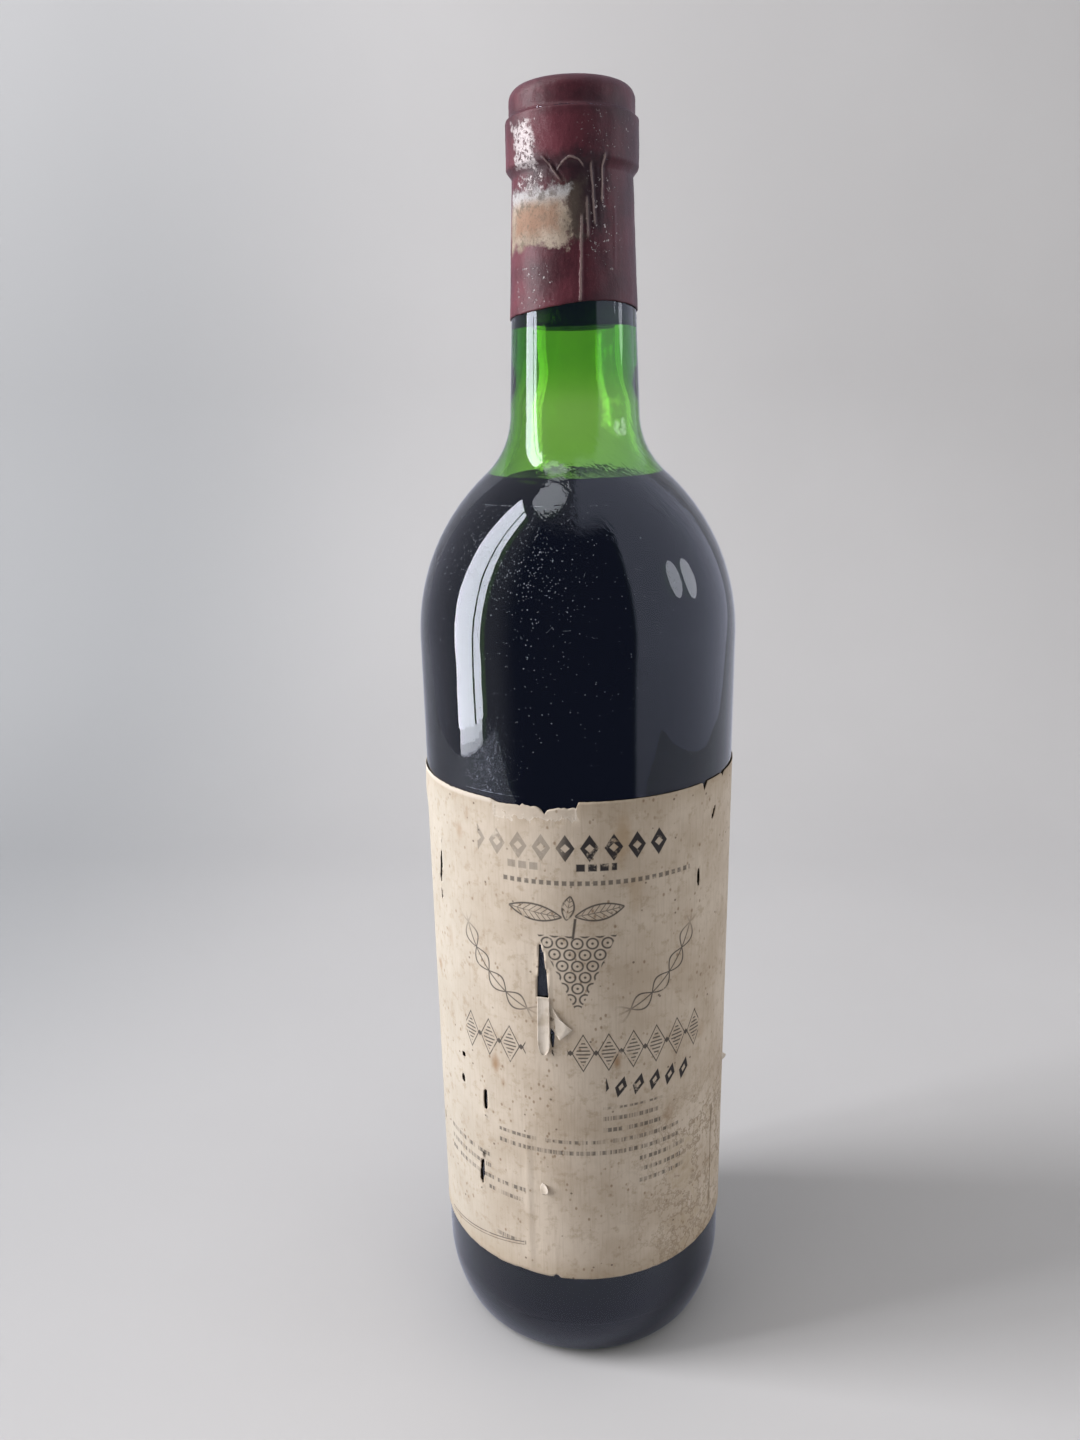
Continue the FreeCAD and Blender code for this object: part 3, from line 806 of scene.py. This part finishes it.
tall_u = abs(spaced(round_u, 0.4, 5.9))
tall_v = abs(high - 90.6)
tall = tall_u * 1.75 + tall_v * 0.95 - 4.5
hatch = greater(tall + 1.3, abs(spaced(high, 0, 0.95)) - 0.17)
knots = abs(spaced(round_u, 3.35, 5.9)) + tall_v - 0.75
tall_reach = lesser(span(round_u, -31, -13.2), span(round_u, -3.2, 31.6))
tall_row = greater(lesser(stroke(tall, 0.24), hatch, knots), span(high, 85.6, 95.6), tall_reach)
lean_u = abs(spaced(round_u - (high - 81) * 0.3, 0.6, 4.3))
lean_v = abs(high - 81) * 0.8
slanted = greater(lean_u * 1.5 + lean_v - 2.2, 0.75 - lean_u * 1.2 - lean_v)
slanted_row = greater(slanted, span(round_u, 5.6, 28.4))

row_number = (high / 3.1).math("FLOOR")
row_seed = paper.node("ShaderNodeCombineXYZ", {}, [round_u * 0.9, row_number * 7.3, 0.0])
words = paper.noise(1.0, 1.0, 0.5, row_seed)
lines = greater(abs(spaced(high, 1.55, 3.1)) - 0.55, 0.47 - words)
stops = abs(spaced(round_u, 0, 1.3)) - 0.5
blocks = lesser(
    greater(span(round_u, 5, 20), span(high, 62, 76)),
    greater(span(round_u, -21, 25), span(high, 62, 67)),
    greater(span(round_u, 14, 27), span(high, 53, 62)),
    greater(span(round_u, -41, -24), span(high, 50, 58)),
    greater(span(round_u, -25, -14), span(high, 46, 53)),
    greater(span(round_u, -23, -14.5), span(high, 34.5, 37.5)),
)
small_print = greater(lines, stops, blocks)
rule_height = high - 33.0 - (round_u + 29) * 0.2
rules = greater(lesser(abs(rule_height) - 0.12, abs(rule_height + 0.8) - 0.07), span(round_u, -44, -15))

worn = paper.noise(130, 4.0, 0.65)
scuffed = paper.noise(520, 3.0, 0.7)
heavy = lesser(title_row, bar_row, slanted_row).rise(0.14, -0.14) * greater(round_u.rise(-10, -1), 0.4)
fine = lesser(berries, stem, leaves, garland, tall_row, rules).rise(0.16, -0.14)
faint = lesser(small_print, dash_row).rise(0.14, -0.14) * 0.7
ink = greater(heavy, fine * 0.88, faint)
ink = ink * ((worn * 0.65 + scuffed * 0.45).rise(0.35, 0.48) * 0.85 + 0.15)

fibres = paper.noise(1900, 3.0, 0.6, paper.stretched((1, 1, 0.06)))
clouding = paper.noise(60, 4.0, 0.6)
mottling = paper.noise(420, 4.0, 0.65)
paper_tone_and_shade = paper.mixed(clouding.rise(0.35, 0.68), (0.58, 0.495, 0.4, 1), (0.47, 0.385, 0.295, 1))
# The left side, which faces the window, is painted darker and greyer: painted shade.
paper_tone_and_shade = paper.mixed(round_u.rise(-6, -42) * 0.6, paper_tone_and_shade, (0.37, 0.35, 0.3, 1))
paper_tone_and_shade = paper.mixed(fibres.rise(0.45, 0.7) * 0.22, paper_tone_and_shade, (0.34, 0.27, 0.2, 1))
paper_tone_and_shade = paper.mixed(mottling.rise(0.5, 0.72) * 0.45, paper_tone_and_shade, (0.3, 0.22, 0.14, 1))


def stain_at(middle, height, wide, tall, blur=1.0):
    """A soft ragged stain about a point on the paper."""
    far = length_of((round_u - middle) / wide, (high - height) / tall)
    return (far + (worn - 0.5) * 1.6).rise(1.0, 1.0 - blur)


edge_toning = greater(span(round_u, -58, 54), span(high, 29, 150.8)).rise(-5, 1.2)
water = paper.noise(85, 5.0, 0.7) * 0.6 + paper.noise(300, 4.0, 0.7) * 0.4
damp_share = round_u.rise(4, 30) * high.rise(82, 62)
olive_stain = water.rise(0.48, 0.62) * damp_share
tide = abs(water - 0.5).rise(0.03, 0.0) * damp_share
foxing = paper.specks(620, paper.stretched((1, 1, 0.7))).rise(0.26, 0.1)
foxing = foxing * paper.noise(150, 3.0).rise(0.5, 0.6)
spots = paper.specks(330).rise(0.13, 0.06) * paper.noise(90, 2.0).rise(0.5, 0.56)
rust = stain_at(-21.5, 83.5, 1.7, 3.6)
for middle, height, wide, tall, share in (
    (8.2, 87.8, 1.4, 3.0, 1.0),
    (-19.5, 79.5, 1.2, 2.2, 0.6),
    (-30.5, 141.0, 1.6, 3.0, 0.55),
    (-27.5, 146.0, 1.3, 2.6, 0.45),
    (-44.5, 101.0, 1.8, 2.2, 0.6),
    (-36.0, 112.0, 1.5, 4.0, 0.3),
    (27.0, 120.0, 2.5, 5.0, 0.25),
    (33.0, 88.0, 2.2, 4.0, 0.3),
    (22.0, 70.0, 2.6, 4.5, 0.35),
    (-24.9, 73.0, 1.1, 4.2, 0.75),
    (-27.0, 51.4, 1.3, 4.6, 0.6),
    (35.6, 143.4, 1.6, 2.4, 0.6),
):
    rust = greater(rust, stain_at(middle, height, wide, tall) * share)
drip = stain_at(9.5, 143, 3.2, 9.0, 0.9) * 0.7
drip = greater(drip, stain_at(12.5, 131, 2.2, 8.0, 0.9) * 0.4)
# A dark line along the raised crease low on the right of the label: painted shade in the crease.
crease_shade_line = greater(abs(round_u - 39.5 - (worn - 0.5) * 1.5) - 0.25, span(high, 33, 64)).rise(0.3, -0.2)
PEEL = (-19.6, -0.7)
peel_edge = 148.0 - high + (worn - 0.5) * 9 + (scuffed - 0.5) * 5
peeled = greater(span(round_u + (scuffed - 0.5) * 3, *PEEL), peel_edge).rise(0.35, -0.25)
peel_rim = abs(greater(span(round_u, *PEEL), peel_edge)).rise(0.3, 0.1) * high.rise(144, 146)
raised_edge = greater(span(high, 150.2, 153), span(round_u, -58, -20)).rise(0.4, -0.3)

colour = paper.mixed(edge_toning * 0.35, paper_tone_and_shade, (0.33, 0.25, 0.16, 1))
colour = paper.mixed(drip, colour, (0.39, 0.28, 0.17, 1))
colour = paper.mixed(olive_stain * 0.4, colour, (0.36, 0.275, 0.165, 1))
colour = paper.mixed(tide * 0.55, colour, (0.17, 0.115, 0.06, 1))
colour = paper.mixed(rust * 0.75, colour, (0.27, 0.15, 0.065, 1))
colour = paper.mixed(peeled * 0.45, colour, (0.6, 0.53, 0.45, 1))
colour = paper.mixed(raised_edge * 0.5, colour, (0.66, 0.6, 0.53, 1))
colour = paper.mixed(crease_shade_line * 0.6, colour, (0.15, 0.1, 0.05, 1))
colour = paper.mixed(foxing * 0.65, colour, (0.19, 0.115, 0.06, 1))
colour = paper.mixed(spots * 0.75, colour, (0.09, 0.06, 0.042, 1))
colour = paper.mixed(ink * 0.96, colour, (0.016, 0.014, 0.016, 1))
colour = paper.mixed(peel_rim * 0.5, colour, (0.62, 0.56, 0.49, 1))
paper.surface(
    Base_Color=colour,
    Roughness=0.86 - ink * 0.1,
    Specular_IOR_Level=0.25,
    Normal=paper.bump(fibres * 0.5 + scuffed * 0.5 - peeled * 0.5, 0.07 * MM),
)
paper.cover(label)
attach(label, "root")
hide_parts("label")

# -----------------------------------------------------------------------------
# Loose bits of the label: the flap torn out of the split, folded down so that its pale back shows, a small
# corner beside it, and two chips of paper that curl up where the glue has let go.
# -----------------------------------------------------------------------------
inner_face = Finish("pale_paper_back")
back_fibres = inner_face.noise(1200, 3.0, 0.6, inner_face.stretched((1, 1, 0.15)))
back_tone = inner_face.noise(400, 3.0)
inner_face.surface(
    Base_Color=inner_face.mixed(back_tone.rise(0.4, 0.7), (0.6, 0.53, 0.45, 1), (0.46, 0.385, 0.3, 1)),
    Roughness=0.9,
    Normal=inner_face.bump(back_fibres, 0.05 * MM),
)


def scrap(name, left, right, low, top, shape):
    """A small piece of torn paper; shape moves each flat point to its place and height."""
    piece = flat_sheet(name, left, right, low, top, 0.25)
    for vertex in piece.data.vertices:
        across = (vertex.co.x - left) / (right - left)
        up = (vertex.co.y - low) / (top - low)
        vertex.co = shape(vertex.co.x, vertex.co.y, across, up)
    wrap(piece)
    bpy.ops.object.shade_smooth()
    thicken(piece, PAPER_WALL * MM)
    for vertex in piece.data.vertices:
        vertex.co.y = max(vertex.co.y, -PAPER_REACH)
    inner_face.cover(piece)
    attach(piece, "root")
    return piece


def hanging_flap(u, v, across, up):
    """Narrow tongue: rounded at its foot, its edges rolled and its foot standing off."""
    narrow = math.sqrt(max(0.0, 1 - max(0.0, 1 - up * 5) ** 2))
    middle = -8.55 - 0.1 * up
    lift = 0.42 + 0.35 * (1 - up) + 0.3 * (2 * across - 1) ** 2 * (1 - 0.6 * up)
    ragged = 0.08 * rough(0, v, 1.2, 41)
    return (middle + (u - middle) * (0.12 + 0.88 * narrow) + ragged, v, lift)


def torn_corner(u, v, across, up):
    """Triangle hinged along its left side, its right tip bent outwards."""
    reach = max(0.0, across * (1 - abs(up - 0.45) * 1.25))
    lift = 0.3 + 0.6 * across**2
    return (-7.0 + 5.0 * reach + 0.1 * rough(u, v, 1.5, 42), v - 3.0 * across, lift)


def curled_chip(middle, height):
    """A chip lifted at one side, like a small open shell."""

    def shape(u, v, across, up):
        lift = 0.28 + 0.9 * across**2 * (0.4 + 0.6 * math.sin(math.pi * up))
        round_off = math.sin(math.pi * (0.15 + 0.7 * up))
        return (middle + (u - middle) * round_off, height + (v - height) * (1 - 0.3 * across), lift)

    return shape


scrap("hanging_flap", -10.0, -7.1, 90.0, 104.6, hanging_flap)
scrap("torn_corner", -7.0, -2.0, 97.0, 103.0, torn_corner)
scrap("lower_chip", -10.4, -8.2, 51.0, 54.4, curled_chip(-9.3, 52.6))
scrap("side_chip", 49.4, 50.8, 70.0, 72.4, curled_chip(50.0, 71.2))

# -----------------------------------------------------------------------------
# Dust: years of fine grey dust and a few hair scratches, lying on the shoulder and thinner on the body.
# Each grain is a flat flake on the glass.
# -----------------------------------------------------------------------------
chance = random.Random(75)
GRAIN_CORNERS = 6
DUST_LOW, DUST_HIGH = 152.4, 213.5


def lying_on(angle, height):
    """A point on the bare glass with its normal; the angle is in degrees from the front."""
    turn = math.radians(angle)
    out = Vector((math.sin(turn), -math.cos(turn), 0))
    if height < SHOULDER_HEIGHT:
        return out * body_radius(height) + Vector((0, 0, height)), out
    rise = math.asin((height - SHOULDER_HEIGHT) / SHOULDER_BEND)
    radius = BODY_RADIUS - SHOULDER_BEND + SHOULDER_BEND * math.cos(rise)
    normal = out * math.cos(rise) + Vector((0, 0, math.sin(rise)))
    return out * radius + Vector((0, 0, height)), normal


def grain_outline(angle, height, wide, long):
    """Corners of one flat grain lying on the glass at a random turn."""
    where, normal = lying_on(angle, height * MM)
    spin = Matrix.Rotation(chance.uniform(0, math.pi), 3, "Z")
    facing = normal.to_track_quat("Z", "Y").to_matrix() @ spin
    corners = []
    for corner in range(GRAIN_CORNERS):
        spoke = math.tau * corner / GRAIN_CORNERS
        offset = Vector((wide * math.cos(spoke), long * math.sin(spoke), 0.02)) * MM
        corners.append(where + facing @ offset)
    return corners


# Each kind of dust: how many grains, middle and spread of the angle, middle and spread of the height in
# millimetres, smallest and largest half width, and how stretched the grains are.
outlines = []
for count, angle, turned_by, height, raised_by, small, large, stretch in (
    (420, -21, 12, 202, 6.5, 0.04, 0.11, 1.25),
    (220, -10, 22, 186, 14, 0.04, 0.1, 1.25),
    (320, 0, 110, 186, 16, 0.04, 0.1, 1.3),
    (1500, -33, 4.5, 157, 5.5, 0.03, 0.06, 1.3),
    (260, -42, 8, 204, 6, 0.04, 0.09, 1.3),
    (22, -6, 26, 188, 14, 0.014, 0.022, 45),
):
    for _ in range(count):
        level = min(DUST_HIGH, max(DUST_LOW, chance.gauss(height, raised_by)))
        wide = chance.uniform(small, large)
        place = chance.gauss(angle, turned_by)
        outlines.append(grain_outline(place, level, wide, wide * chance.uniform(1, stretch)))
corners = [corner for outline in outlines for corner in outline]
faces = [tuple(range(i, i + GRAIN_CORNERS)) for i in range(0, len(corners), GRAIN_CORNERS)]
dust_mesh = bpy.data.meshes.new("glass_dust")
dust_mesh.from_pydata(corners, [], faces)
dust = bpy.data.objects.new("glass_dust", dust_mesh)
bpy.context.collection.objects.link(dust)
lint = Finish("pale_dust")
greyness = lint.noise(700, 2.0).rise(0.35, 0.65)
lint.surface(
    Base_Color=lint.mixed(greyness, (0.08, 0.088, 0.11, 1), (0.37, 0.4, 0.47, 1)),
    Roughness=0.95,
)
lint.cover(dust)
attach(dust, "root")

# -----------------------------------------------------------------------------
# The table and backdrop: one pale grey sheet that sweeps up behind the bottle, and is not part of it.
# -----------------------------------------------------------------------------
SHEET_LEFT, SHEET_RIGHT, SHEET_FRONT, SHEET_BEND = -0.53, 0.53, -0.31, 0.30
SWEEP_RADIUS = 0.26
WALL_TOP = 1.4
bpy.ops.object.select_all(action="DESELECT")
bpy.ops.mesh.primitive_plane_add(size=1)
sheet = bpy.context.object
sheet.name = "pale_sweep"
bpy.ops.object.mode_set(mode="EDIT")
size = (SHEET_RIGHT - SHEET_LEFT, SHEET_BEND - SHEET_FRONT, 1)
bpy.ops.transform.resize(value=size, center_override=(0, 0, 0))
bpy.ops.transform.translate(value=((SHEET_LEFT + SHEET_RIGHT) / 2, (SHEET_FRONT + SHEET_BEND) / 2, 0))
bpy.ops.mesh.select_mode(type="EDGE")
bpy.ops.mesh.select_all(action="DESELECT")
bpy.ops.object.mode_set(mode="OBJECT")
for edge in sheet.data.edges:
    edge.select = all(sheet.data.vertices[i].co.y > SHEET_BEND - MM for i in edge.vertices)
bpy.ops.object.mode_set(mode="EDIT")
sweep = bend((SHEET_BEND, SWEEP_RADIUS), SWEEP_RADIUS, -90, 0, 24) + [(SHEET_BEND + SWEEP_RADIUS, WALL_TOP)]
for before, after in zip(sweep, sweep[1:]):
    step = (0, after[0] - before[0], after[1] - before[1])
    bpy.ops.mesh.extrude_region_move(TRANSFORM_OT_translate={"value": step})
bpy.ops.object.mode_set(mode="OBJECT")
bpy.ops.object.shade_smooth()
card = Finish("pale_grey_card")
cast = card.noise(5, 3.0)
across, deep, high = card.axes()
shaded = across.rise(-20, -340) * deep.rise(-260, 180) * high.rise(1200, 60)
plain = card.mixed(cast.rise(0.3, 0.7), (0.482, 0.474, 0.471, 1), (0.502, 0.494, 0.491, 1))
plain = card.mixed(shaded, plain, (0.305, 0.31, 0.315, 1))
# What the glass mirrors of the sheet is painted a cooler, bluer grey than the sheet seen directly: a
# painted reflection colour.
mirrored = card.node("ShaderNodeLightPath", output="Is Glossy Ray")
cool = card.mixed(across.rise(60, 480), (0.5, 0.515, 0.6, 1), (0.6, 0.62, 0.7, 1))
cool = card.mixed(shaded, cool, (0.3, 0.31, 0.36, 1))
card.surface(
    Base_Color=card.mixed(mirrored, plain, cool),
    Roughness=0.75,
    Normal=card.bump(card.noise(240, 2.0) * (1 - mirrored), 0.02 * MM),
)
card.cover(sheet)

# -----------------------------------------------------------------------------
# The light: a tall window in two panes to the left, dimmer towards its sill, a round lamp overhead, two
# small ones to the right, and a pale room that is darker in front.
# -----------------------------------------------------------------------------
bpy.context.scene.view_settings.view_transform = "Standard"


def pane(name, middle, width, height, radiance, target, shape="ELLIPSE"):
    """A flat lamp that faces a target; radiance is how bright it looks."""
    data = bpy.data.lights.new(name, "AREA")
    data.shape = shape
    data.size = width
    data.size_y = height
    data.energy = radiance * math.pi * width * height
    lamp = bpy.data.objects.new(name, data)
    lamp.location = middle
    lamp.rotation_euler = (Vector(target) - Vector(middle)).to_track_quat("-Z", "Y").to_euler()
    bpy.context.collection.objects.link(lamp)
    return lamp


WINDOW_X = -0.95
DAYLIGHT = (0.985, 0.985, 1.02)
for name, front, back, low, top, radiance in (
    ("front_pane", -0.335, -0.225, -0.105, 1.71, 12.8),
    ("rear_pane", -0.2, 0.085, -0.105, 1.71, 12.8),
    ("upper_sill", -0.31, 0.06, -0.118, -0.105, 9.5),
    ("middle_sill", -0.31, 0.06, -0.13, -0.118, 6.5),
    ("lower_sill", -0.31, 0.06, -0.142, -0.13, 3.5),
):
    middle = (WINDOW_X, (front + back) / 2, (low + top) / 2)
    ahead = (0, middle[1], middle[2])
    window = pane(name, middle, back - front, top - low, radiance, ahead, "RECTANGLE")
    window.data.color = DAYLIGHT
pane("ceiling_lamp", (-0.385, -0.18, 1.5), 0.5, 0.52, 2.6, (0, 0, 0.21))
for name, middle in (("far_lamp_front", (0.95, -0.175, 0.54)), ("far_lamp_rear", (0.96, 0.055, 0.47))):
    pane(name, middle, 0.19, 0.28, 2.8, (0, 0, 0.2))

room = Finish("pale_room", room=True)
bpy.context.scene.world = room.holder
away_x, away_y, away_z = [room.node("ShaderNodeSeparateXYZ", {}, [room.place], axis) for axis in range(3)]
level = length_of(away_x, away_y)
frontness = (0 - away_y) / (level + 0.001)
right_side = away_x.rise(-0.02, 0.02)
front_right = frontness.rise(0.72, 0.77) * right_side
front_left = frontness.rise(0.45, 0.75) * (1 - right_side)
darkness = lesser(front_right + front_left, 1.0) * away_z.rise(0.95, 0.8)
# soft is the light that falls on things, and sharp is what smooth surfaces mirror.
soft = room.mixed(right_side, (0.36, 0.36, 0.37, 1), (0.8, 0.8, 0.81, 1))
soft = room.mixed(darkness, soft, (0.3, 0.29, 0.28, 1))
right_wall = room.mixed(away_z.rise(-0.5, -0.12), (0.6, 0.62, 0.76, 1), (1.0, 1.03, 1.26, 1))
sharp = room.mixed(right_side, (0.47, 0.48, 0.59, 1), right_wall)
sharp = room.mixed(darkness, sharp, (0.12, 0.145, 0.26, 1))
seen = room.node("ShaderNodeLightPath", output="Is Camera Ray")
mirrored = room.node("ShaderNodeLightPath", output="Is Glossy Ray")
BACKDROP = (0.55, 0.55, 0.56, 1)
shown = room.mixed(seen, room.mixed(mirrored, soft, sharp), BACKDROP)
room.put(room.main("BACKGROUND").inputs["Color"], shown)

# -----------------------------------------------------------------------------
# The camera: close in front and a little above, looking down at the whole bottle.
# -----------------------------------------------------------------------------
camera_data = bpy.data.cameras.new("camera")
camera_data.lens = 27.02
camera_data.sensor_width = 36
camera_data.clip_start = 0.01
camera = bpy.data.objects.new("camera", camera_data)
bpy.context.collection.objects.link(camera)
camera.location = (0, -0.2562, 0.2313)
TIP, HEADING, ROLL = 0.2718, 0.0365, -0.0202
aim = Matrix.Rotation(HEADING, 3, "Z") @ Matrix.Rotation(math.pi / 2 - TIP, 3, "X")
camera.rotation_euler = (aim @ Matrix.Rotation(ROLL, 3, "Z")).to_euler()
bpy.context.scene.camera = camera
